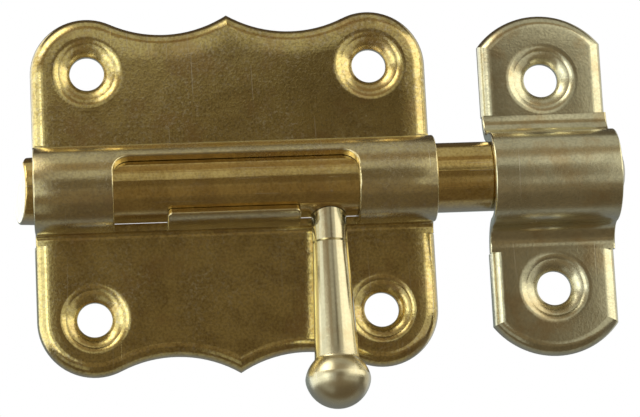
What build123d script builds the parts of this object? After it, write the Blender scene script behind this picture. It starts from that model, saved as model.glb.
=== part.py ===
from build123d import *
import os
from math import acos, atan2, cos, degrees, hypot, radians, sin, sqrt

os.makedirs("parts", exist_ok=True)

# A pressed slide bolt with its keeper, thrown, with the handle down in its notch. Sizes are in
# millimetres. The back of the plate is the plane Y = 0 and the front faces -Y. The origin is the
# middle of the four screw holes, +X points along the rod to the keeper and +Z is up.

# Pressed sheet, the same for the plate and the keeper
sheet = 1.1
pan_height = 2.0
rim_bend = 1.9
cut_edge_round = 0.25

# Rod, which stands out of the keeper at its nose and out of the plate at its tail
rod_diameter = 10.0
rod_back_gap = 0.4
nose_reach = 1.35
nose_dome_radius = 8.5
nose_edge_round = 0.5
tail_reach = 3.06
tail_radius = 4.65
tail_taper_length = 8.0
tail_crown_radius = 40.0
tail_crown_drop = 8.5
tail_shear_reach = 1.8
tail_shear_angle = 11.6
tail_edge_round = 0.3

# Plate outline: a lobe round each screw hole, joined by hollows that meet in a cusp
hole_span_x = 41.0
hole_span_z = 36.0
lobe_radius = 8.2
cusp_half_height = 26.3
scallop_radius = 17.6

# Tunnel of the plate: a sleeve at each end, the long window between them, and in the window the
# lip that stands between two notches, where the handle rests with the bolt drawn or thrown
sleeve_inset = 0.2
sleeve_length = 11.2
rod_fit = 0.1
root_bend = 1.0
root_land = 0.1
window_top_angle = 37.0
window_corner = 2.5
drawn_notch_width = 7.5
thrown_notch_width = 8.3
notch_floor_rise = 1.0
lip_top_angle = -49.0
lip_corner = 0.7

# Screw dimples of the plate and the keeper
screw_hole = 5.0
dimple_diameter = 9.8
dimple_depth = 1.2
dimple_margin = 0.8

# Keeper
keeper_gap = 7.85
keeper_drop = 0.4
keeper_width = 18.2
keeper_side_half_height = 20.7
keeper_end_half_height = 25.2
keeper_hole_span = 30.8
keeper_fit = 0.6
keeper_root_bend = 3.3

# Handle, with its lengths measured from the rod's axis
handle_inset = 4.2
handle_lift = 5.0
stud_diameter = 5.0
saddle_fit = 0.08
ring_distance = 9.1
ring_width = 0.35
ring_depth = 0.3
grip_end_diameter = 6.3
ball_distance = 28.9
ball_radius = 4.6
ball_half_length = 4.1
ball_belt_bend = 2.2
ball_end_flat = 0.35
ball_neck_round = 0.6

# Worked out from the sizes above
rod_radius = rod_diameter / 2
rod_height = rod_radius + rod_back_gap
hollow_height = pan_height - sheet
tunnel_inner = rod_radius + rod_fit
tunnel_outer = tunnel_inner + sheet
keeper_inner = rod_radius + keeper_fit
keeper_outer = keeper_inner + sheet
notch_floor_height = pan_height + notch_floor_rise
hole_radius = screw_hole / 2
dimple_radius = dimple_diameter / 2
dimple_patch_radius = dimple_radius + dimple_margin
dimple_bend = ((dimple_radius - hole_radius)**2 + dimple_depth**2) / (2 * dimple_depth)
lobe_x = hole_span_x / 2
lobe_z = hole_span_z / 2
plate_half_width = lobe_x + lobe_radius
sleeve_end_x = plate_half_width - sleeve_inset
window_half_length = sleeve_end_x - sleeve_length
lip_start_x = drawn_notch_width - window_half_length
lip_end_x = window_half_length - thrown_notch_width
handle_x = window_half_length - handle_inset
keeper_x = plate_half_width + keeper_gap + keeper_width / 2
nose_x = keeper_x + keeper_width / 2 + nose_reach
tail_x = -plate_half_width - tail_reach
tail_shear_x = -plate_half_width - tail_shear_reach
shear_slant = radians(tail_shear_angle)
stud_radius = stud_diameter / 2
belt_middle = ball_radius - ball_belt_bend
ball_dome_radius = (belt_middle**2 + ball_half_length**2 - ball_belt_bend**2) / (
    2 * (ball_half_length - ball_belt_bend)
)
ball_dome_offset = ball_dome_radius - ball_half_length
lift = radians(handle_lift)
far_cut = 4 * tunnel_outer
tolerance = 0.01

# Planes: the back of the plate and of the keeper seen from the front, and the sections across
# their tunnels, where the first coordinate is the height above the back.
plate_back = Plane.XZ
plate_section = Plane(origin=(0, 0, 0), x_dir=(0, -1, 0), z_dir=(-1, 0, 0))
keeper_middle = (keeper_x, 0, -keeper_drop)
keeper_back = Plane(origin=keeper_middle, x_dir=(1, 0, 0), z_dir=(0, -1, 0))
keeper_section = Plane(origin=keeper_middle, x_dir=(0, -1, 0), z_dir=(-1, 0, 0))
handle_foot = (handle_x, -rod_height, 0)
handle_plane = Plane(origin=handle_foot, x_dir=(1, 0, 0), z_dir=(0, cos(lift), -sin(lift)))
handle_axis = Axis(handle_foot, (0, -sin(lift), -cos(lift)))
rod_axis = Axis((0, -rod_height, 0), (1, 0, 0))


def plate_outline():
    """The scalloped outline. The centre of a hollow is where two circles cross: one as far from
    the cusp as the hollow's radius, and one that far outside the lobe."""
    reach = hypot(lobe_x, lobe_z - cusp_half_height)
    to_lobe = scallop_radius + lobe_radius
    turn = acos((scallop_radius**2 + reach**2 - to_lobe**2) / (2 * scallop_radius * reach))
    direction = atan2(lobe_z - cusp_half_height, lobe_x) + turn
    hollow_x = scallop_radius * cos(direction)
    hollow_z = cusp_half_height + scallop_radius * sin(direction)
    share = lobe_radius / to_lobe
    meet = (lobe_x + (hollow_x - lobe_x) * share, lobe_z + (hollow_z - lobe_z) * share)
    diagonal = lobe_radius * sqrt(0.5)
    with BuildSketch() as outline:
        with BuildLine():
            RadiusArc((0, cusp_half_height), meet, -scallop_radius)
            ThreePointArc(meet, (lobe_x + diagonal, lobe_z + diagonal), (plate_half_width, lobe_z))
            Polyline((plate_half_width, lobe_z), (plate_half_width, 0), (0, 0), (0, cusp_half_height))
        make_face()
        mirror(about=Plane.XZ)
        mirror(about=Plane.YZ)
    return outline.sketch


def keeper_outline():
    """The strap of the keeper: straight sides and shallow round ends."""
    half_width = keeper_width / 2
    with BuildSketch() as outline:
        with BuildLine():
            ThreePointArc(
                (-half_width, keeper_side_half_height),
                (0, keeper_end_half_height),
                (half_width, keeper_side_half_height),
            )
            Polyline(
                (half_width, keeper_side_half_height),
                (half_width, 0),
                (-half_width, 0),
                (-half_width, keeper_side_half_height),
            )
        make_face()
        mirror(about=Plane.XZ)
    return outline.sketch


def tunnel_section(radius, base_height, bend):
    """The filled section of a tunnel round the rod, with bends at its roots on a base as high as
    base_height. The first coordinate is the height above the back, the second is along Z."""
    base_half_width = radius + bend + root_land
    with BuildSketch() as section:
        with Locations((rod_height, 0)):
            Circle(radius)
        with Locations((base_height / 2, 0)):
            Rectangle(base_height, 2 * base_half_width)
        roots = section.vertices().filter_by(
            lambda corner: abs(corner.X - base_height) < tolerance
            and abs(corner.Y) < base_half_width - tolerance
        )
        fillet(roots, bend)
        with Locations((-radius / 2, 0)):
            Rectangle(radius, 4 * radius, mode=Mode.SUBTRACT)
    return section.sketch


def dimple_section():
    """Half the section of a screw dimple: the distance from the hole's axis, then the height. The
    sheet rolls down from the pan to the edge of the hole, and its underside seats on the back."""
    bend_middle = (dimple_radius, pan_height - dimple_bend)
    under_bend = dimple_bend - sheet
    seat_radius = dimple_radius - sqrt(under_bend**2 - bend_middle[1]**2)
    with BuildSketch() as section:
        with BuildLine():
            RadiusArc((hole_radius, pan_height - dimple_depth), (dimple_radius, pan_height), dimple_bend)
            Polyline(
                (dimple_radius, pan_height),
                (dimple_patch_radius, pan_height),
                (dimple_patch_radius, hollow_height),
                (dimple_radius, hollow_height),
            )
            RadiusArc((seat_radius, 0), (dimple_radius, hollow_height), under_bend)
            Polyline((seat_radius, 0), (hole_radius, 0), (hole_radius, pan_height - dimple_depth))
        make_face()
    return section.sketch


def edges_at(body, angle, places):
    """Edges with their middle at this angle round the rod's axis and at one of these places on it."""
    def is_there(edge):
        middle = edge.center()
        middle_angle = degrees(atan2(middle.Z, -middle.Y - rod_height))
        is_level = abs(middle_angle - angle) < tolerance
        return is_level and any(abs(middle.X - place) < tolerance for place in places)
    return body.edges().filter_by(is_there)


def cut_edges(body, tunnel_radius):
    """The outer edges where a tunnel's sheet was cut: at its ends and round its window."""
    skins = body.faces().filter_by(GeomType.CYLINDER).filter_by(
        lambda face: abs(face.radius - tunnel_radius) < tolerance
    )
    return skins.edges().filter_by(lambda edge: -edge.center().Y > rod_height)


# The hollow behind the plate: the underside of the pan, and the bore of the tunnel.
with BuildPart() as plate_hollow:
    with BuildSketch(plate_back):
        add(plate_outline())
        offset(amount=-sheet, kind=Kind.INTERSECTION, mode=Mode.REPLACE)
    extrude(amount=hollow_height)
    fillet(plate_hollow.faces().sort_by(Axis.Y)[0].edges(), rim_bend - sheet)
    with BuildSketch(plate_section):
        add(tunnel_section(tunnel_inner, hollow_height, root_bend + sheet))
    extrude(amount=sleeve_end_x + sheet, both=True)

# What is cut out of the tunnel: the long window round the front of the rod, and a notch down to
# the roots at each end of it.
with BuildPart() as window_cutter:
    top_angle = radians(window_top_angle)
    lip_angle = radians(lip_top_angle)
    with BuildSketch(plate_section):
        with BuildLine():
            Polyline(
                (rod_height, 0),
                (rod_height + far_cut * cos(top_angle), far_cut * sin(top_angle)),
                (rod_height + far_cut * cos(lip_angle), far_cut * sin(lip_angle)),
                (rod_height, 0),
            )
        make_face()
    extrude(amount=window_half_length, both=True)
    notch_reach = tunnel_outer + root_bend
    with BuildSketch(plate_back.offset(notch_floor_height)):
        with Locations((-window_half_length, 0)):
            Rectangle(drawn_notch_width, notch_reach, align=(Align.MIN, Align.MAX))
        with Locations((window_half_length, 0)):
            Rectangle(thrown_notch_width, notch_reach, align=(Align.MAX, Align.MAX))
    extrude(amount=far_cut)
    window_ends = (-window_half_length, window_half_length)
    fillet(edges_at(window_cutter, window_top_angle, window_ends), window_corner)
    fillet(edges_at(window_cutter, lip_top_angle, (lip_start_x, lip_end_x)), lip_corner)

# The backplate: a shallow pan with its edges turned down, and the tunnel raised across it.
with BuildPart() as backplate:
    with BuildSketch(plate_back):
        add(plate_outline())
    extrude(amount=pan_height)
    fillet(backplate.faces().sort_by(Axis.Y)[0].edges(), rim_bend)
    with BuildSketch(plate_section):
        add(tunnel_section(tunnel_outer, pan_height, root_bend))
    extrude(amount=sleeve_end_x, both=True)
    add(plate_hollow.part, mode=Mode.SUBTRACT)
    add(window_cutter.part, mode=Mode.SUBTRACT)
    fillet(cut_edges(backplate, tunnel_outer), cut_edge_round)
    with BuildSketch(plate_back):
        with GridLocations(hole_span_x, hole_span_z, 2, 2):
            Circle(dimple_patch_radius)
    extrude(amount=pan_height, mode=Mode.SUBTRACT)
    for hole_x in (-lobe_x, lobe_x):
        for hole_z in (-lobe_z, lobe_z):
            with BuildSketch(Plane(origin=(hole_x, 0, hole_z), x_dir=(1, 0, 0), z_dir=(0, 0, -1))):
                add(dimple_section())
            revolve(axis=Axis((hole_x, 0, hole_z), (0, 1, 0)))
backplate.part.label = "backplate"
export_step(backplate.part, "parts/backplate.step")

# The hollow behind the keeper.
with BuildPart() as keeper_hollow:
    with BuildSketch(keeper_back):
        add(keeper_outline())
        offset(amount=-sheet, kind=Kind.INTERSECTION, mode=Mode.REPLACE)
    extrude(amount=hollow_height)
    fillet(keeper_hollow.faces().sort_by(Axis.Y)[0].edges(), rim_bend - sheet)
    with BuildSketch(keeper_section):
        add(tunnel_section(keeper_inner, hollow_height, keeper_root_bend + sheet))
    extrude(amount=keeper_width / 2 + sheet, both=True)

# The keeper: a strap pressed like the plate, with a roomier tunnel and wider bends.
with BuildPart() as keeper:
    with BuildSketch(keeper_back):
        add(keeper_outline())
    extrude(amount=pan_height)
    fillet(keeper.faces().sort_by(Axis.Y)[0].edges(), rim_bend)
    with BuildSketch(keeper_section):
        add(tunnel_section(keeper_outer, pan_height, keeper_root_bend))
    extrude(amount=keeper_width / 2, both=True)
    add(keeper_hollow.part, mode=Mode.SUBTRACT)
    fillet(cut_edges(keeper, keeper_outer), cut_edge_round)
    with BuildSketch(keeper_back):
        with GridLocations(0, keeper_hole_span, 1, 2):
            Circle(dimple_patch_radius)
    extrude(amount=pan_height, mode=Mode.SUBTRACT)
    for hole_z in (-keeper_drop - keeper_hole_span / 2, -keeper_drop + keeper_hole_span / 2):
        with BuildSketch(Plane(origin=(keeper_x, 0, hole_z), x_dir=(1, 0, 0), z_dir=(0, 0, -1))):
            add(dimple_section())
        revolve(axis=Axis((keeper_x, 0, hole_z), (0, 1, 0)))
keeper.part.label = "keeper"
export_step(keeper.part, "parts/keeper.step")

# The rod: domed at the nose, and sheared at the tail, which leaves it a little narrower there,
# crowned towards its lower end, and with a slanted face that looks to the front.
with BuildPart() as bolt_rod:
    dome_edge_x = nose_x - nose_dome_radius + sqrt(nose_dome_radius**2 - rod_radius**2)
    with BuildSketch(Plane(origin=(0, -rod_height, 0))) as rod_half:
        with BuildLine():
            RadiusArc((nose_x, 0), (dome_edge_x, -rod_radius), nose_dome_radius)
            Polyline(
                (dome_edge_x, -rod_radius),
                (tail_x + tail_taper_length, -rod_radius),
                (tail_x, -tail_radius),
                (tail_x, 0),
                (nose_x, 0),
            )
        make_face()
        fillet(rod_half.vertices().sort_by_distance((dome_edge_x, -rod_radius))[0], nose_edge_round)
    revolve(axis=rod_axis)
    with BuildSketch(plate_back):
        with Locations((tail_x + tail_crown_radius, -tail_crown_drop)):
            Circle(tail_crown_radius)
            Rectangle(
                nose_x - tail_x, 2 * tail_crown_radius, align=(Align.MIN, Align.CENTER)
            )
    extrude(amount=2 * rod_height, mode=Mode.INTERSECT)
    shear_middle = (tail_shear_x, -rod_height, 0)
    split(bisect_by=Plane(shear_middle, (0, 0, 1), (cos(shear_slant), sin(shear_slant), 0)), keep=Keep.TOP)
    tail_edges = bolt_rod.edges().filter_by(lambda edge: edge.center().X < tail_x + tail_reach)
    fillet(tail_edges, tail_edge_round)
bolt_rod.part.label = "bolt_rod"
export_step(bolt_rod.part, "parts/bolt_rod.step")

# The stud of the handle: it sits astride the rod and ends at the fine ring.
with BuildPart() as handle_stud:
    with BuildSketch(handle_plane):
        with BuildLine():
            Polyline(
                (0, 0),
                (stud_radius, 0),
                (stud_radius, ring_distance - ring_width / 2),
                (stud_radius - ring_depth, ring_distance),
                (0, ring_distance),
                (0, 0),
            )
        make_face()
    revolve(axis=handle_axis)
    with BuildSketch(Plane.YZ.offset(handle_x)):
        with Locations((-rod_height, 0)):
            Circle(rod_radius + saddle_fit)
    extrude(amount=stud_diameter, both=True, mode=Mode.SUBTRACT)
handle_stud.part.label = "handle_stud"
export_step(handle_stud.part, "parts/handle_stud.step")

# The grip of the handle: a taper that widens to a slightly flattened ball, which is two domes with
# a rounder belt between them.
with BuildPart() as handle_grip:
    with BuildSketch(handle_plane) as grip_half:
        with BuildLine():
            neck_angle = degrees(acos(grip_end_diameter / 2 / ball_dome_radius))
            belt_angle = degrees(atan2(ball_dome_offset, belt_middle))
            flat_angle = degrees(acos(ball_end_flat / ball_dome_radius))
            near_dome = CenterArc(
                (0, ball_distance + ball_dome_offset), ball_dome_radius, -neck_angle, neck_angle - belt_angle
            )
            CenterArc((belt_middle, ball_distance), ball_belt_bend, -belt_angle, 2 * belt_angle)
            far_dome = CenterArc(
                (0, ball_distance - ball_dome_offset), ball_dome_radius, belt_angle, flat_angle - belt_angle
            )
            Polyline(
                far_dome @ 1,
                (0, (far_dome @ 1).Y),
                (0, ring_distance),
                (stud_radius - ring_depth, ring_distance),
                (stud_radius, ring_distance + ring_width / 2),
                near_dome @ 0,
            )
        make_face()
        fillet(grip_half.vertices().sort_by_distance(near_dome @ 0)[0], ball_neck_round)
    revolve(axis=handle_axis)
handle_grip.part.label = "handle_grip"
export_step(handle_grip.part, "parts/handle_grip.step")
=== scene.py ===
"""The finished looks of a brass-plated slide bolt and its keeper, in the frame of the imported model.

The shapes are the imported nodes. This file gives each one its plated finish, and sets the floor,
the studio and the camera round them. Lengths are in metres.
"""

import bpy
from math import cos, pi, radians, sin
from mathutils import Matrix, Vector

bl_info = {
    "name": "Slide Bolt Finish",
    "version": (1, 0, 0),
    "blender": (4, 5, 0),
    "location": "3D View > Sidebar > Slide Bolt",
    "description": "Plated finishes, studio and camera for a slide bolt with its keeper",
    "category": "Object",
}

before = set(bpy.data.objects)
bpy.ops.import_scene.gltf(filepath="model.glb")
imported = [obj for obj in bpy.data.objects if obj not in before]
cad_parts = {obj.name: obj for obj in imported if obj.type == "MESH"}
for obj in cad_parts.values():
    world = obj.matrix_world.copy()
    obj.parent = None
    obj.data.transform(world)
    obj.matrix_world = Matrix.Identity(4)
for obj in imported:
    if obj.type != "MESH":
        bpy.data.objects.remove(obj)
bpy.context.view_layer.update()

WHITE = (1.0, 1.0, 1.0)
NUMBER, VECTOR, COLOUR = "NodeSocketFloat", "NodeSocketVector", "NodeSocketColor"

# Scratches that run up the pressed sheets, and scratches that run along the rod
UPRIGHT_SCRATCHES = {
    "Stretch": (330.0, 330.0, 110.0), "Across": (1.0, 0.0, 0.0), "Along": (0.0, 0.0, 1.0),
    "Width": 0.03, "Lean": 0.25, "Share": 0.25,
}
LONG_SCRATCHES = {
    "Stretch": (90.0, 500.0, 500.0), "Across": (0.0, 0.0, 1.0), "Along": (1.0, 0.0, 0.0),
    "Width": 0.03, "Lean": 0.2, "Share": 0.3,
}

# Outlines of the two pressed sheets: the middle, half the width, the round of the corners or the
# ends with where it starts along X, the hollow between the corners, and the screw holes. Places are
# those of the upper right quarter. The keeper has no hollow, so its own is far away.
PLATE_OUTLINE = {
    "Middle": (0.0, 0.0, 0.0), "Half Width": 0.0287, "Round Middle": (0.0205, 0.0, 0.018),
    "Round Radius": 0.0082, "Round From": 0.0169, "Hollow Middle": (0.0093, 0.0, 0.04124),
    "Hollow Radius": 0.0176, "Hole Middle": (0.0205, 0.0, 0.018),
}
KEEPER_OUTLINE = {
    "Middle": (0.04565, 0.0, -0.0004), "Half Width": 0.0091, "Round Middle": (0.0, 0.0, 0.01375),
    "Round Radius": 0.01145, "Round From": -1.0, "Hollow Middle": (0.0, 0.0, 1.0),
    "Hollow Radius": 0.01, "Hole Middle": (0.0, 0.0, 0.0154),
}

# The dimple round a screw hole, the width of the ring outside it over which the flat sheet eases
# down to it, and how far it eases down
DIMPLE_RADIUS = 0.0041
DIMPLE_EASE = 0.0013
DIMPLE_DROP = 3e-4

# Where the plating is worn: an axis, where along it the wear starts, and where it is in full. The
# tunnels are raised towards -Y, and the handle has its ball at the lower end.
TUNNEL_WEAR = ("Y", -0.0025, -0.006)
BALL_WEAR = ("Z", -0.0235, -0.026)

# Flecks: their radius as a share of their spacing, how many places have one, and their colour
FLECK_SIZE = 0.13
FLECK_SHARE = 0.12
FLECK_COLOUR = (1.0, 0.95, 0.8)

# Scuffs and scratches: their colour, how strongly each of the two shows it, and a scratch's depth
MARK_COLOUR = (0.98, 0.88, 0.66)
SCUFF_STRENGTH = 0.55
SCRATCH_STRENGTH = 0.8
SCRATCH_DEPTH = 4e-6

# The scale of the noise that makes the shallow dents of the pressed and turned steel, and the depth
# of the fine forming lines as a share of that of the wide ones
DENT_SCALE = 260.0
FINE_LINE_SHARE = 0.25

# How much rougher the plating is where it is dull, where it is hazy, in a mark and in a dimple
DULL_ROUGHNESS = 0.06
HAZE_ROUGHNESS = 0.04
MARK_ROUGHNESS = 0.08
DIMPLE_ROUGHNESS = 0.08

# Painted sheen: a paler grey tint painted on surfaces that are turned away from the front, in place of
# the grazing reflection there. The turn is 1 less the size of the normal's Y: where the painted sheen
# starts, where it is in full, and its share of the colour
PAINTED_SHEEN_START, PAINTED_SHEEN_FULL = 0.28, 0.84
PAINTED_SHEEN_SHARE = 0.75


class FinishSettings(bpy.types.PropertyGroup):
    """Colours and textures of the plated metal."""

    plate_clean: bpy.props.FloatVectorProperty(
        name="Plate Colour", description="Plating of the backplate where it is bright",
        default=(1.0, 0.79, 0.29), subtype="COLOR", min=0.0, max=1.0,
    )
    plate_dull: bpy.props.FloatVectorProperty(
        name="Plate Dull Colour", description="Plating of the backplate where it has dulled",
        default=(0.53, 0.38, 0.12), subtype="COLOR", min=0.0, max=1.0,
    )
    rod_clean: bpy.props.FloatVectorProperty(
        name="Rod Colour", description="Plating of the rod where it is bright",
        default=(0.97, 0.71, 0.24), subtype="COLOR", min=0.0, max=1.0,
    )
    rod_dull: bpy.props.FloatVectorProperty(
        name="Rod Dull Colour", description="Plating of the rod where it has dulled",
        default=(0.58, 0.38, 0.10), subtype="COLOR", min=0.0, max=1.0,
    )
    handle_clean: bpy.props.FloatVectorProperty(
        name="Handle Colour", description="Plating of the handle where it is bright",
        default=(0.86, 0.76, 0.47), subtype="COLOR", min=0.0, max=1.0,
    )
    handle_dull: bpy.props.FloatVectorProperty(
        name="Handle Dull Colour", description="Plating of the handle where it has dulled",
        default=(0.72, 0.62, 0.37), subtype="COLOR", min=0.0, max=1.0,
    )
    keeper_clean: bpy.props.FloatVectorProperty(
        name="Keeper Colour", description="Plating of the keeper where it is bright",
        default=(0.96, 0.87, 0.54), subtype="COLOR", min=0.0, max=1.0,
    )
    keeper_dull: bpy.props.FloatVectorProperty(
        name="Keeper Dull Colour", description="Plating of the keeper where it has dulled",
        default=(0.66, 0.60, 0.37), subtype="COLOR", min=0.0, max=1.0,
    )
    stain: bpy.props.FloatVectorProperty(
        name="Stain Colour", description="Warmer tone of the plating where it is stained",
        default=(0.70, 0.46, 0.17), subtype="COLOR", min=0.0, max=1.0,
    )
    worn: bpy.props.FloatVectorProperty(
        name="Worn Colour", description="Greyer plating of the raised tunnel",
        default=(0.80, 0.73, 0.52), subtype="COLOR", min=0.0, max=1.0,
    )
    # Painted sheen: grey tint painted on sides that don't face the front, standing in for their
    # grazing reflection
    painted_sheen_colour: bpy.props.FloatVectorProperty(
        name="Painted Sheen Colour", description="Paler film of the plating on sides that don't face the front",
        default=(0.58, 0.61, 0.58), subtype="COLOR", min=0.0, max=1.0,
    )
    cloud_size: bpy.props.FloatProperty(
        name="Cloud Size", description="Size of the patches where the plating is duller",
        default=0.0042, min=0.001, max=0.05, unit="LENGTH",
    )
    fleck_spacing: bpy.props.FloatProperty(
        name="Fleck Spacing", description="Distance between the small flecks in the plating",
        default=0.0022, min=0.0005, max=0.02, unit="LENGTH",
    )
    mottle_size: bpy.props.FloatProperty(
        name="Mottle Size", description="Size of the fine mottling of the plating",
        default=0.0004, min=0.0001, max=0.005, unit="LENGTH",
    )


class StudioSettings(bpy.types.PropertyGroup):
    """The camera, the floor and the tent of light."""

    camera_place: bpy.props.FloatVectorProperty(
        name="Camera Place", description="Where the camera stands",
        default=(-0.02017, -0.38442, -0.07781), subtype="TRANSLATION", unit="LENGTH",
    )
    camera_yaw: bpy.props.FloatProperty(
        name="Camera Yaw", description="Turn of the camera to the left",
        default=radians(-4.845), subtype="ANGLE",
    )
    camera_pitch: bpy.props.FloatProperty(
        name="Camera Pitch", description="Tilt of the camera upwards",
        default=radians(11.001), subtype="ANGLE",
    )
    camera_roll: bpy.props.FloatProperty(
        name="Camera Roll", description="Turn of the camera about its own line of sight",
        default=radians(2.869), subtype="ANGLE",
    )
    camera_lens: bpy.props.FloatProperty(
        name="Camera Lens", description="Focal length in millimetres on a 36 mm sensor",
        default=153.05, min=10.0, max=500.0,
    )
    floor_drop: bpy.props.FloatProperty(
        name="Floor Drop", description="How far the floor lies below the middle of the plate",
        default=0.52, min=0.03, max=2.0, unit="LENGTH",
    )
    tent_radius: bpy.props.FloatProperty(
        name="Tent Radius", description="Radius of the tent of light round the bolt",
        default=0.5, min=0.2, max=5.0, unit="LENGTH",
    )


# Helpers for shader nodes

def fill(tree, socket, value):
    """Gives a socket its value, or links it where the value is a socket itself."""
    if isinstance(value, bpy.types.NodeSocket):
        tree.links.new(value, socket)
    else:
        socket.default_value = value


def add_node(tree, kind, inputs=None, **settings):
    """Adds a node with its settings, and fills each named input with a value or a link."""
    node = tree.nodes.new(kind)
    for name, value in settings.items():
        setattr(node, name, value)
    for key, value in (inputs or {}).items():
        fill(tree, node.inputs[key], value)
    return node


def calculate(tree, operation, first, second=0.0, clamp=False):
    """A Math node's result."""
    return add_node(tree, "ShaderNodeMath", {0: first, 1: second}, operation=operation,
                    use_clamp=clamp).outputs[0]


def calculate_vector(tree, operation, first, second=(0.0, 0.0, 0.0)):
    """A Vector Math node's result, which is a number for a dot product and for a distance."""
    node = add_node(tree, "ShaderNodeVectorMath", {0: first, 1: second}, operation=operation)
    return node.outputs["Value" if operation in ("DOT_PRODUCT", "DISTANCE") else "Vector"]


def product(tree, first, *others):
    """Values multiplied by each other."""
    for other in others:
        first = calculate(tree, "MULTIPLY", first, other)
    return first


def add_shares(tree, total, *shares):
    """A total plus each value times its share."""
    for value, share in shares:
        total = calculate(tree, "ADD", total, product(tree, value, share))
    return total


def spread(tree, value, low, high, to_low=0.0, to_high=1.0):
    """A value from low to high, mapped smoothly and kept between to_low and to_high."""
    node = add_node(
        tree, "ShaderNodeMapRange",
        {"Value": value, "From Min": low, "From Max": high, "To Min": to_low, "To Max": to_high},
        interpolation_type="SMOOTHSTEP",
    )
    return node.outputs["Result"]


def fading(tree, distance, reach):
    """1 at no distance or less, and evenly down to 0 at the reach."""
    return calculate(tree, "SUBTRACT", 1.0, calculate(tree, "DIVIDE", distance, reach), clamp=True)


def blend_colour(tree, share, first, second):
    """Two colours mixed by a share."""
    node = add_node(tree, "ShaderNodeMix", data_type="RGBA")
    for name, kind, value in (("Factor", "VALUE", share), ("A", "RGBA", first), ("B", "RGBA", second)):
        fill(tree, next(s for s in node.inputs if s.name == name and s.type == kind), value)
    return next(s for s in node.outputs if s.type == "RGBA")


def object_place(tree):
    """A point's place in the coordinates of its own object."""
    return add_node(tree, "ShaderNodeTexCoord").outputs["Object"]


def along_axis(tree, vector, axis):
    """One of the three parts of a vector."""
    return add_node(tree, "ShaderNodeSeparateXYZ", {"Vector": vector}).outputs[axis]


def texture_scale(tree, size):
    """The scale at which a texture's pattern has a size in metres."""
    return calculate(tree, "DIVIDE", 1.0, size)


def noise(tree, place, scale, detail, roughness, distortion=0.0):
    """A noise texture's value, from 0 to 1 and mostly near the middle."""
    return add_node(tree, "ShaderNodeTexNoise", {
        "Vector": place, "Scale": scale, "Detail": detail, "Roughness": roughness,
        "Distortion": distortion}).outputs["Fac"]


def random_cells(tree, place, scale):
    """What a cell texture gives, and three random numbers for each cell."""
    cells = add_node(tree, "ShaderNodeTexVoronoi", {"Vector": place, "Scale": scale}, feature="F1")
    chances = add_node(tree, "ShaderNodeSeparateColor", {"Color": cells.outputs["Color"]})
    return cells.outputs, chances.outputs


def opaque(colour):
    """A colour with its alpha."""
    return (*colour, 1.0)


def new_material(name):
    """An empty material and its tree."""
    material = bpy.data.materials.new(name)
    material.use_nodes = True
    tree = material.node_tree
    tree.nodes.clear()
    return material, tree


def new_group(name, inputs, outputs):
    """A shader node group with its sockets, and the values that it is given."""
    group = bpy.data.node_groups.new(name, "ShaderNodeTree")
    for socket_name, kind, default in inputs:
        socket = group.interface.new_socket(name=socket_name, in_out="INPUT", socket_type=kind)
        socket.default_value = default
    for socket_name, kind in outputs:
        group.interface.new_socket(name=socket_name, in_out="OUTPUT", socket_type=kind)
    return group, group.nodes.new("NodeGroupInput").outputs


def use_group(tree, name, build, inputs):
    """What a node group gives for its inputs. The group is built the first time it is used."""
    group = bpy.data.node_groups.get(name) or build(name)
    return add_node(tree, "ShaderNodeGroup", inputs, node_tree=group).outputs


# Shared node groups

def plating_group(name):
    """Clouds of bright, dull and stained plating, fine mottling, and how dull each point is."""
    group, given = new_group(
        name,
        [("Clean", COLOUR, (0.8, 0.6, 0.3, 1)), ("Dull", COLOUR, (0.6, 0.5, 0.3, 1)),
         ("Stain", COLOUR, (0.6, 0.4, 0.2, 1)), ("Cloud Size", NUMBER, 0.006),
         ("Mottle Size", NUMBER, 0.0006), ("Amount", NUMBER, 0.6)],
        [("Colour", COLOUR), ("Dullness", NUMBER), ("Mottle", NUMBER)],
    )
    place = object_place(group)
    # The stains come from another part of the noise, so that they don't follow the clouds
    aside = calculate_vector(group, "ADD", place, (0.11, 0.07, 0.05))
    wide_scale = texture_scale(group, given["Cloud Size"])
    fine_scale = texture_scale(group, given["Mottle Size"])
    wide = spread(group, noise(group, place, wide_scale, 4.0, 0.6, 0.4), 0.4, 0.62)
    fine = spread(group, noise(group, place, fine_scale, 3.0, 0.6), 0.42, 0.62)
    patches = noise(group, aside, product(group, wide_scale, 0.7), 5.0, 0.65)
    both = add_shares(group, 0.0, (wide, 0.5), (fine, 0.5))
    dullness = calculate(group, "MULTIPLY", both, given["Amount"], clamp=True)
    stained = product(group, spread(group, patches, 0.5, 0.68), product(group, given["Amount"], 0.6))
    mixed = blend_colour(group, dullness, given["Clean"], given["Dull"])
    mixed = blend_colour(group, stained, mixed, given["Stain"])
    add_node(group, "NodeGroupOutput", {"Colour": mixed, "Dullness": dullness, "Mottle": fine})
    return group


def fleck_group(name):
    """Small flecks scattered at random: 1 in a fleck, 0 between them."""
    group, given = new_group(
        name, [("Spacing", NUMBER, 0.002), ("Size", NUMBER, 0.14), ("Share", NUMBER, 0.2)],
        [("Fleck", NUMBER)],
    )
    scale = texture_scale(group, given["Spacing"])
    cells, chances = random_cells(group, object_place(group), scale)
    dot = fading(group, cells["Distance"], given["Size"])
    chosen = calculate(group, "LESS_THAN", chances[0], given["Share"])
    strength = product(group, chosen, chances[1])
    add_node(group, "NodeGroupOutput", {"Fleck": product(group, dot, strength)})
    return group


def line_group(name):
    """Fine straight lines along one direction. Stretch is the place's scale on each axis."""
    group, given = new_group(
        name, [("Stretch", VECTOR, (20.0, 2500.0, 2500.0)), ("Detail", NUMBER, 3.0)],
        [("Height", NUMBER)],
    )
    place = calculate_vector(group, "MULTIPLY", object_place(group), given["Stretch"])
    add_node(group, "NodeGroupOutput", {"Height": noise(group, place, 1.0, given["Detail"], 0.6)})
    return group


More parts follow.
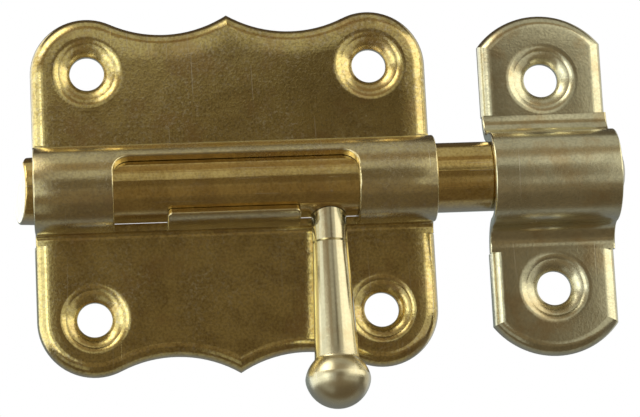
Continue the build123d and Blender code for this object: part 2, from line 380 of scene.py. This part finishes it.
def scratch_group(name):
    """Short straight scratches, one in some of the cells that Stretch lays out. They run roughly
    along Along, and Across points from one side of a scratch to the other: 1 in a scratch."""
    group, given = new_group(
        name,
        [("Stretch", VECTOR, (400.0, 400.0, 90.0)), ("Across", VECTOR, (1.0, 0.0, 0.0)),
         ("Along", VECTOR, (0.0, 0.0, 1.0)), ("Width", NUMBER, 0.02), ("Lean", NUMBER, 0.2),
         ("Share", NUMBER, 0.3)],
        [("Scratch", NUMBER)],
    )
    place = calculate_vector(group, "MULTIPLY", object_place(group), given["Stretch"])
    cells, chances = random_cells(group, place, 1.0)
    from_cell = calculate_vector(group, "SUBTRACT", place, cells["Position"])
    across = calculate_vector(group, "DOT_PRODUCT", from_cell, given["Across"])
    along = calculate_vector(group, "DOT_PRODUCT", from_cell, given["Along"])
    lean = product(group, given["Lean"], calculate(group, "SUBTRACT", chances[1], 0.5))
    off_line = calculate(group, "ABSOLUTE", add_shares(group, across, (lean, along)))
    line = fading(group, off_line, given["Width"])
    ends = spread(group, calculate(group, "ABSOLUTE", along), 0.2, 0.5, 1.0, 0.0)
    chosen = calculate(group, "LESS_THAN", chances[0], given["Share"])
    strength = product(group, chosen, ends, chances[2])
    add_node(group, "NodeGroupOutput", {"Scratch": product(group, line, strength)})
    return group


def scuff_group(name):
    """Fine scuffs, denser in some places than in others, and a haze in those places: 1 in a scuff
    or in the haze, 0 outside it."""
    group, given = new_group(
        name, [("Size", NUMBER, 0.0005), ("Patch Size", NUMBER, 0.009)],
        [("Scuff", NUMBER), ("Haze", NUMBER)],
    )
    place = object_place(group)
    small = noise(group, place, texture_scale(group, given["Size"]), 2.0, 0.55, 0.8)
    wide = noise(group, place, texture_scale(group, given["Patch Size"]), 3.0, 0.55)
    dense = spread(group, wide, 0.3, 0.62, 0.25, 1.0)
    scuff = product(group, spread(group, small, 0.44, 0.8), dense)
    add_node(group, "NodeGroupOutput", {"Scuff": scuff, "Haze": spread(group, wide, 0.42, 0.64)})
    return group


def edge_group(name):
    """Nearness to the edge of a pressed sheet: 0 deep inside, 1 at the very edge. Nearness to the
    dimple of a screw hole in the same way."""
    group, given = new_group(
        name,
        [("Middle", VECTOR, (0.0, 0.0, 0.0)), ("Half Width", NUMBER, 0.03),
         ("Round Middle", VECTOR, (0.02, 0.0, 0.02)), ("Round Radius", NUMBER, 0.008),
         ("Round From", NUMBER, 0.01), ("Hollow Middle", VECTOR, (0.01, 0.0, 0.04)),
         ("Hollow Radius", NUMBER, 0.02), ("Hole Middle", VECTOR, (0.02, 0.0, 0.02)),
         ("Reach", NUMBER, 0.0045)],
        [("Edge", NUMBER), ("Hole", NUMBER)],
    )
    place = calculate_vector(group, "SUBTRACT", object_place(group), given["Middle"])
    flat = calculate_vector(group, "MULTIPLY", place, (1.0, 0.0, 1.0))
    quarter = calculate_vector(group, "ABSOLUTE", flat)
    across, up = along_axis(group, quarter, "X"), along_axis(group, quarter, "Z")
    to_round, to_hollow, to_hole = (
        calculate_vector(group, "DISTANCE", quarter, given[middle])
        for middle in ("Round Middle", "Hollow Middle", "Hole Middle"))
    from_side = calculate(group, "SUBTRACT", given["Half Width"], across)
    from_hollow = calculate(group, "SUBTRACT", to_hollow, given["Hollow Radius"])
    # Outside the corner the round doesn't count, so a metre is added to its distance there
    in_corner = product(
        group, calculate(group, "GREATER_THAN", across, given["Round From"]),
        calculate(group, "GREATER_THAN", up, along_axis(group, given["Round Middle"], "Z")))
    from_round = calculate(group, "ADD",
                           calculate(group, "SUBTRACT", given["Round Radius"], to_round),
                           calculate(group, "SUBTRACT", 1.0, in_corner))
    nearest = calculate(group, "MINIMUM", from_side,
                        calculate(group, "MINIMUM", from_round, from_hollow))
    from_dimple = calculate(group, "SUBTRACT", to_hole, DIMPLE_RADIUS)
    add_node(group, "NodeGroupOutput", {
        "Edge": fading(group, nearest, given["Reach"]),
        "Hole": fading(group, from_dimple, DIMPLE_EASE)})
    return group


# Finishes of the pieces

def plated_metal(name, clean, dull, settings, roughness, streaks, scratches, mottle_depth,
                 streak_depth, dent_depth, scuffing, amount=0.8, outline=None, edge_drop=3.5e-4,
                 wear=None, wear_roughness=0.0, wear_share=0.0):
    """Bright plating on pressed or drawn steel. Streaks holds the stretch of the wide and of the
    fine forming lines, scratches the inputs of the scratch group, and outline those of the edge
    group, for a sheet whose surface eases down by edge_drop towards its edge. Where wear, one of
    the two above, is in full, the metal is rougher by wear_roughness, and wear_share of its colour
    is the worn one. Depths are in metres."""
    material, tree = new_material(name)
    place = object_place(tree)
    clouds = use_group(tree, "plating clouds", plating_group, {
        "Clean": opaque(clean), "Dull": opaque(dull), "Stain": opaque(settings.stain),
        "Cloud Size": settings.cloud_size, "Mottle Size": settings.mottle_size,
        "Amount": amount})
    fleck = use_group(tree, "plating flecks", fleck_group, {
        "Spacing": settings.fleck_spacing, "Size": FLECK_SIZE, "Share": FLECK_SHARE})["Fleck"]
    wide_lines, fine_lines = (
        use_group(tree, "fine lines", line_group, {"Stretch": stretch, "Detail": detail})["Height"]
        for stretch, detail in zip(streaks, (1.0, 3.0)))
    scratch = use_group(tree, "straight scratches", scratch_group, scratches)["Scratch"]
    scuffs = use_group(tree, "fine scuffs", scuff_group, {})
    scuff, haze = (product(tree, scuffs[effect], scuffing) for effect in ("Scuff", "Haze"))
    dents = noise(tree, place, DENT_SCALE, 2.0, 0.5)

    colour = blend_colour(tree, fleck, clouds["Colour"], opaque(FLECK_COLOUR))
    marked = calculate(tree, "MAXIMUM", product(tree, scuff, SCUFF_STRENGTH),
                       product(tree, scratch, SCRATCH_STRENGTH))
    colour = blend_colour(tree, marked, colour, opaque(MARK_COLOUR))
    rough = add_shares(
        tree, roughness, (clouds["Dullness"], DULL_ROUGHNESS), (haze, HAZE_ROUGHNESS),
        (calculate(tree, "MAXIMUM", scuff, scratch), MARK_ROUGHNESS))
    height = add_shares(
        tree, 0.0, (wide_lines, streak_depth), (fine_lines, streak_depth * FINE_LINE_SHARE),
        (dents, dent_depth), (clouds["Mottle"], mottle_depth), (scratch, -SCRATCH_DEPTH))
    if wear:
        axis, start, full = wear
        worn = spread(tree, along_axis(tree, place, axis), start, full)
        rough = add_shares(tree, rough, (worn, wear_roughness))
        if wear_share:
            colour = blend_colour(tree, product(tree, worn, wear_share), colour,
                                  opaque(settings.worn))
    if outline:
        near = use_group(tree, "nearness to edge", edge_group, outline)
        rough = add_shares(tree, rough, (near["Hole"], DIMPLE_ROUGHNESS))
        for nearness, drop in ((near["Edge"], edge_drop), (near["Hole"], DIMPLE_DROP)):
            height = add_shares(tree, height, (product(tree, nearness, nearness), -drop))

    # Painted sheen: sides turned away from the front are tinted paler grey, standing in for their
    # grazing reflection
    normal = add_node(tree, "ShaderNodeTexCoord").outputs["Normal"]
    facing_front = calculate(tree, "ABSOLUTE", along_axis(tree, normal, "Y"))
    turned_away = calculate(tree, "SUBTRACT", 1.0, facing_front)
    painted_sheen = spread(tree, turned_away, PAINTED_SHEEN_START, PAINTED_SHEEN_FULL, 0.0, PAINTED_SHEEN_SHARE)
    colour = blend_colour(tree, painted_sheen, colour, opaque(settings.painted_sheen_colour))
    bump = add_node(tree, "ShaderNodeBump", {"Strength": 1.0, "Distance": 1.0, "Height": height})
    shader = add_node(tree, "ShaderNodeBsdfPrincipled", {
        "Base Color": colour, "Metallic": 1.0, "Roughness": rough, "Coat Weight": 0.2,
        "Coat Roughness": 0.08, "Coat IOR": 1.6, "Normal": bump.outputs["Normal"]})
    add_node(tree, "ShaderNodeOutputMaterial", {"Surface": shader.outputs["BSDF"]})
    return material


def dress(node_name, material):
    """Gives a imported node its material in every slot."""
    if node_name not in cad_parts:
        raise RuntimeError(f"the packed model has no node {node_name}")
    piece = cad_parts[node_name]
    if not piece.material_slots:
        piece.data.materials.append(material)
    for slot in piece.material_slots:
        slot.material = material


class SLIDEBOLT_OT_finish_backplate(bpy.types.Operator):
    """Plate the pressed backplate"""

    bl_idname = "slidebolt.finish_backplate"
    bl_label = "Finish Backplate"

    def execute(self, context):
        finish = context.scene.slidebolt_finish
        dress("backplate", plated_metal(
            "backplate plating", finish.plate_clean, finish.plate_dull, finish, roughness=0.1,
            streaks=((40.0, 700.0, 700.0), (60.0, 3000.0, 3000.0)), scratches=UPRIGHT_SCRATCHES,
            mottle_depth=3e-6, streak_depth=6e-6, dent_depth=1.6e-5, outline=PLATE_OUTLINE,
            amount=1.0, scuffing=0.9, wear=TUNNEL_WEAR, wear_roughness=0.06, wear_share=0.35))
        return {"FINISHED"}


class SLIDEBOLT_OT_finish_rod(bpy.types.Operator):
    """Plate the drawn rod"""

    bl_idname = "slidebolt.finish_rod"
    bl_label = "Finish Rod"

    def execute(self, context):
        finish = context.scene.slidebolt_finish
        dress("bolt_rod", plated_metal(
            "rod plating", finish.rod_clean, finish.rod_dull, finish, roughness=0.13,
            streaks=((14.0, 900.0, 900.0), (20.0, 3600.0, 3600.0)), scratches=LONG_SCRATCHES,
            mottle_depth=2e-6, streak_depth=5e-5, dent_depth=6e-6, scuffing=0.4))
        return {"FINISHED"}


class SLIDEBOLT_OT_finish_handle(bpy.types.Operator):
    """Plate and polish the turned handle"""

    bl_idname = "slidebolt.finish_handle"
    bl_label = "Finish Handle"

    def execute(self, context):
        finish = context.scene.slidebolt_finish
        material = plated_metal(
            "handle plating", finish.handle_clean, finish.handle_dull, finish, roughness=0.15,
            streaks=((300.0, 300.0, 900.0), (500.0, 500.0, 5000.0)), scratches=UPRIGHT_SCRATCHES,
            mottle_depth=1e-6, streak_depth=2e-6, dent_depth=1.0e-5, amount=0.5, scuffing=0.2,
            wear=BALL_WEAR, wear_roughness=0.12)
        for node_name in ("handle_stud", "handle_grip"):
            dress(node_name, material)
        return {"FINISHED"}


class SLIDEBOLT_OT_finish_keeper(bpy.types.Operator):
    """Plate the pressed keeper"""

    bl_idname = "slidebolt.finish_keeper"
    bl_label = "Finish Keeper"

    def execute(self, context):
        finish = context.scene.slidebolt_finish
        dress("keeper", plated_metal(
            "keeper plating", finish.keeper_clean, finish.keeper_dull, finish, roughness=0.15,
            streaks=((30.0, 700.0, 700.0), (50.0, 2600.0, 2600.0)), scratches=UPRIGHT_SCRATCHES,
            mottle_depth=3e-6, streak_depth=1.2e-5, dent_depth=1.4e-5, outline=KEEPER_OUTLINE,
            scuffing=0.4, edge_drop=1.5e-4, wear=TUNNEL_WEAR, wear_roughness=0.05))
        return {"FINISHED"}


# Studio and camera

def glowing(name, tone, strength, soft_edge):
    """Light from a card, fading to clear at its border."""
    material, tree = new_material(name)
    place = add_node(tree, "ShaderNodeUVMap", uv_map=CARD_MAP).outputs["UV"]
    inside = []
    for axis in ("X", "Y"):
        offset = calculate(tree, "SUBTRACT", along_axis(tree, place, axis), 0.5)
        from_middle = calculate(tree, "ABSOLUTE", offset)
        inside.append(spread(tree, from_middle, 0.5 - soft_edge, 0.5, 1.0, 0.0))
    clear = add_node(tree, "ShaderNodeBsdfTransparent")
    glow = add_node(tree, "ShaderNodeEmission", {"Color": opaque(tone), "Strength": strength})
    mix = add_node(tree, "ShaderNodeMixShader", {
        0: product(tree, *inside), 1: clear.outputs[0], 2: glow.outputs[0]})
    add_node(tree, "ShaderNodeOutputMaterial", {"Surface": mix.outputs[0]})
    return material


def beside(azimuth, elevation):
    """A direction from the bolt by the turn to the right of straight in front, then the rise."""
    a, e = radians(azimuth), radians(elevation)
    return Vector((sin(a) * cos(e), -cos(a) * cos(e), sin(e)))


def over(side, pitch):
    """A direction from the bolt by the lean to the right, and the turn up from straight in front."""
    s, p = radians(side), radians(pitch)
    return Vector((sin(s), -cos(s) * cos(p), cos(s) * sin(p)))


# The tones that the cards have, the steps that each of them is made of, and the name of its UV map
WARM, PLAIN, COOL = (1.0, 0.8, 0.55), (1.0, 1.0, 0.94), (0.9, 0.96, 1.0)
CARD_STEPS = 24
CARD_MAP = "card"

# The cards that stand close to the bolt, at its left: the name, the distance, the limits in degrees
# across and up, the tone, the strength, and the share of the card over which each border fades
CLOSE_CARDS = (
    ("tail_card", 0.13, (-153, -137), (6, 15), PLAIN, 1.6, 0.1),
    ("near_left_card", 0.16, (-86, -52), (-12, 24), COOL, 0.95, 0.15),
)

# The other cards stand one behind the other in this order, so each hides what comes after it: the
# name, how its limits are measured, and the rest as above. Flags and shades keep the flat metal
# dark, windows light the turned-down edges, and the rest light the round metal.
CARD_DISTANCE = 0.43
CARD_STEP = 0.001
CARDS = (
    ("upper_left_card", over, (-60, -8), (34, 100), PLAIN, 3.0, 0.4),
    ("lower_left_card", over, (-58, -8), (-76, -44), PLAIN, 0.27, 0.2),
    ("front_shade", beside, (1, 17), (10, 24), WARM, 0.07, 0.35),
    ("front_flag", beside, (-18, 24), (-13, 20), WARM, 0.12, 0.15),
    ("upper_flag", beside, (-18, 16), (12, 42), PLAIN, 0.36, 0.15),
    ("left_fill", beside, (-36, -12), (-26, 20), COOL, 0.6, 0.15),
    ("left_window", beside, (-54, -28), (-26, 20), COOL, 1.9, 0.15),
    ("left_side", beside, (-126, -46), (-26, 20), COOL, 1.3, 0.1),
    ("upper_left_shade", beside, (-74, -12), (9, 44), WARM, 0.22, 0.1),
    ("upper_left_side", beside, (-160, -62), (9, 44), PLAIN, 1.1, 0.1),
    ("right_fill", beside, (12, 38), (-1, 44), PLAIN, 0.5, 0.15),
    ("right_window", beside, (30, 56), (-1, 44), PLAIN, 1.2, 0.15),
    ("right_side", beside, (48, 106), (-1, 44), PLAIN, 1.3, 0.1),
    ("right_back", beside, (98, 156), (-24, 44), PLAIN, 0.6, 0.15),
    ("lower_right_card", beside, (12, 78), (-26, 6), PLAIN, 0.4, 0.1),
    ("lower_right_shade", beside, (68, 106), (-26, 6), WARM, 0.08, 0.15),
    ("overhead_front", over, (-60, 60), (30, 66), WARM, 0.22, 0.15),
    ("overhead_card", over, (-60, 60), (58, 106), PLAIN, 0.35, 0.15),
    ("overhead_shade", over, (-60, 60), (96, 170), WARM, 0.08, 0.15),
    ("under_front", over, (-60, 60), (-50, -8), WARM, 0.16, 0.18),
    ("under_card", over, (-60, 60), (-100, -41), WARM, 0.11, 0.15),
    ("under_back", over, (-60, 60), (-168, -88), PLAIN, 0.22, 0.15),
)


def unseen_by_camera(piece):
    """A stage piece that shows only in the metal and by its light."""
    piece.visible_camera = False
    piece.visible_shadow = False


def light_card(name, towards, distance, across, up, tone, strength, soft_edge):
    """A curved card of light or shade, with its limits as angles of the function towards."""
    points, faces = [], []
    for row in range(CARD_STEPS + 1):
        for column in range(CARD_STEPS + 1):
            turn = across[0] + (across[1] - across[0]) * column / CARD_STEPS
            rise = up[0] + (up[1] - up[0]) * row / CARD_STEPS
            points.append(towards(turn, rise) * distance)
    for row in range(CARD_STEPS):
        for column in range(CARD_STEPS):
            first = row * (CARD_STEPS + 1) + column
            faces.append((first, first + 1, first + CARD_STEPS + 2, first + CARD_STEPS + 1))
    mesh = bpy.data.meshes.new(name)
    mesh.from_pydata(points, [], faces)
    layer = mesh.uv_layers.new(name=CARD_MAP)
    for loop in mesh.loops:
        row, column = divmod(loop.vertex_index, CARD_STEPS + 1)
        layer.data[loop.index].uv = (column / CARD_STEPS, row / CARD_STEPS)
    mesh.materials.append(glowing(name, tone, strength, soft_edge))
    card = bpy.data.objects.new(name, mesh)
    bpy.context.scene.collection.objects.link(card)
    unseen_by_camera(card)


# The tent's cloth in front, behind and below
TENT_FRONT, TENT_BACK, TENT_LOW = (0.34, 0.31, 0.26), (0.25, 0.28, 0.27), (0.13, 0.12, 0.11)


def light_tent(radius):
    """The tent round the set: it shows in the metal wherever no card stands before it."""
    bpy.ops.mesh.primitive_uv_sphere_add(segments=64, ring_count=32, radius=radius)
    tent = bpy.context.object
    tent.name = "light_tent"
    material, tree = new_material("tent cloth")
    depth, height = (
        calculate(tree, "DIVIDE", along_axis(tree, object_place(tree), axis), radius)
        for axis in ("Y", "Z"))
    colour = blend_colour(tree, spread(tree, depth, -0.35, 0.2), opaque(TENT_FRONT),
                          opaque(TENT_BACK))
    colour = blend_colour(tree, spread(tree, height, -0.1, -0.4), colour, opaque(TENT_LOW))
    light = add_node(tree, "ShaderNodeEmission", {"Color": colour, "Strength": 1.0})
    add_node(tree, "ShaderNodeOutputMaterial", {"Surface": light.outputs[0]})
    tent.data.materials.append(material)
    unseen_by_camera(tent)


# The floor's size, the grey of its cloth, its glow as it is seen, and the strength of the white
# background where it isn't seen but only lights the set
FLOOR_RADIUS = 2.0
FLOOR_GREY = (0.3, 0.3, 0.3)
FLOOR_GLOW = 0.82
BACKGROUND_LIGHT = 0.6


def seen_ray(tree):
    """1 for what is seen, be it directly, in a reflection or through glass, and 0 for its light."""
    path = add_node(tree, "ShaderNodeLightPath").outputs
    mirrored = calculate(tree, "MAXIMUM", path["Is Camera Ray"], path["Is Glossy Ray"])
    return calculate(tree, "MAXIMUM", mirrored, path["Is Transmission Ray"])


def lay_floor(drop, radius):
    """A plain pale floor that is white to the camera and keeps the bolt's shadow."""
    bpy.ops.mesh.primitive_circle_add(vertices=96, radius=radius, fill_type="NGON",
                                      location=(0.0, 0.0, -drop))
    floor = bpy.context.object
    floor.name = "floor"
    material, tree = new_material("pale floor")
    cloth = add_node(tree, "ShaderNodeBsdfDiffuse", {"Color": opaque(FLOOR_GREY)})
    light = add_node(tree, "ShaderNodeEmission", {
        "Color": opaque(WHITE), "Strength": product(tree, seen_ray(tree), FLOOR_GLOW)})
    both = add_node(tree, "ShaderNodeAddShader", {0: cloth.outputs[0], 1: light.outputs[0]})
    add_node(tree, "ShaderNodeOutputMaterial", {"Surface": both.outputs[0]})
    floor.data.materials.append(material)


def white_surroundings(scene):
    """A white background for the camera and in reflections, and a softer light otherwise."""
    world = bpy.data.worlds.new("white background")
    scene.world = world
    world.use_nodes = True
    tree = world.node_tree
    tree.nodes.clear()
    strength = spread(tree, seen_ray(tree), 0.0, 1.0, BACKGROUND_LIGHT, 1.0)
    back = add_node(tree, "ShaderNodeBackground", {"Color": opaque(WHITE), "Strength": strength})
    add_node(tree, "ShaderNodeOutputWorld", {"Surface": back.outputs[0]})


def place_camera(scene, studio):
    """The camera of the photograph's view, looking along +Y before it is turned."""
    data = bpy.data.cameras.new("camera")
    data.sensor_fit = "HORIZONTAL"
    data.sensor_width = 36.0
    data.lens = studio.camera_lens
    data.clip_start, data.clip_end = 0.01, 100.0
    camera = bpy.data.objects.new("camera", data)
    scene.collection.objects.link(camera)
    camera.matrix_world = (
        Matrix.Translation(studio.camera_place)
        @ Matrix.Rotation(studio.camera_yaw, 4, "Z")
        @ Matrix.Rotation(studio.camera_pitch, 4, "X")
        @ Matrix.Rotation(studio.camera_roll, 4, "Y")
        @ Matrix.Rotation(pi / 2, 4, "X")
    )
    scene.camera = camera


class SLIDEBOLT_OT_set_stage(bpy.types.Operator):
    """Set the floor, the tent, the cards, the background and the camera"""

    bl_idname = "slidebolt.set_stage"
    bl_label = "Set Stage"

    def execute(self, context):
        scene = context.scene
        studio = scene.slidebolt_studio
        scene.view_settings.view_transform = "Standard"
        white_surroundings(scene)
        lay_floor(studio.floor_drop, FLOOR_RADIUS)
        light_tent(studio.tent_radius)
        for name, distance, *look in CLOSE_CARDS:
            light_card(name, beside, distance, *look)
        for layer, (name, towards, *look) in enumerate(CARDS):
            light_card(name, towards, CARD_DISTANCE + layer * CARD_STEP, *look)
        place_camera(scene, studio)
        return {"FINISHED"}


class SLIDEBOLT_PT_panel(bpy.types.Panel):
    """The steps that finish the slide bolt"""

    bl_idname = "SLIDEBOLT_PT_panel"
    bl_label = "Slide Bolt"
    bl_space_type = "VIEW_3D"
    bl_region_type = "UI"
    bl_category = "Slide Bolt"

    def draw(self, context):
        for settings in (context.scene.slidebolt_finish, context.scene.slidebolt_studio):
            for name in settings.bl_rna.properties.keys():
                if name not in ("rna_type", "name"):
                    self.layout.prop(settings, name)
        for step in STEPS:
            self.layout.operator(step.bl_idname)


STEPS = (
    SLIDEBOLT_OT_finish_backplate,
    SLIDEBOLT_OT_finish_rod,
    SLIDEBOLT_OT_finish_handle,
    SLIDEBOLT_OT_finish_keeper,
    SLIDEBOLT_OT_set_stage,
)
CLASSES = (FinishSettings, StudioSettings, *STEPS, SLIDEBOLT_PT_panel)


def register():
    for cls in CLASSES:
        bpy.utils.register_class(cls)
    bpy.types.Scene.slidebolt_finish = bpy.props.PointerProperty(type=FinishSettings)
    bpy.types.Scene.slidebolt_studio = bpy.props.PointerProperty(type=StudioSettings)


def unregister():
    del bpy.types.Scene.slidebolt_finish
    del bpy.types.Scene.slidebolt_studio
    for cls in reversed(CLASSES):
        bpy.utils.unregister_class(cls)


def main():
    """Runs every step in order."""
    register()
    bpy.ops.slidebolt.finish_backplate()
    bpy.ops.slidebolt.finish_rod()
    bpy.ops.slidebolt.finish_handle()
    bpy.ops.slidebolt.finish_keeper()
    bpy.ops.slidebolt.set_stage()
    bpy.context.view_layer.update()


if __name__ == "__main__":
    main()
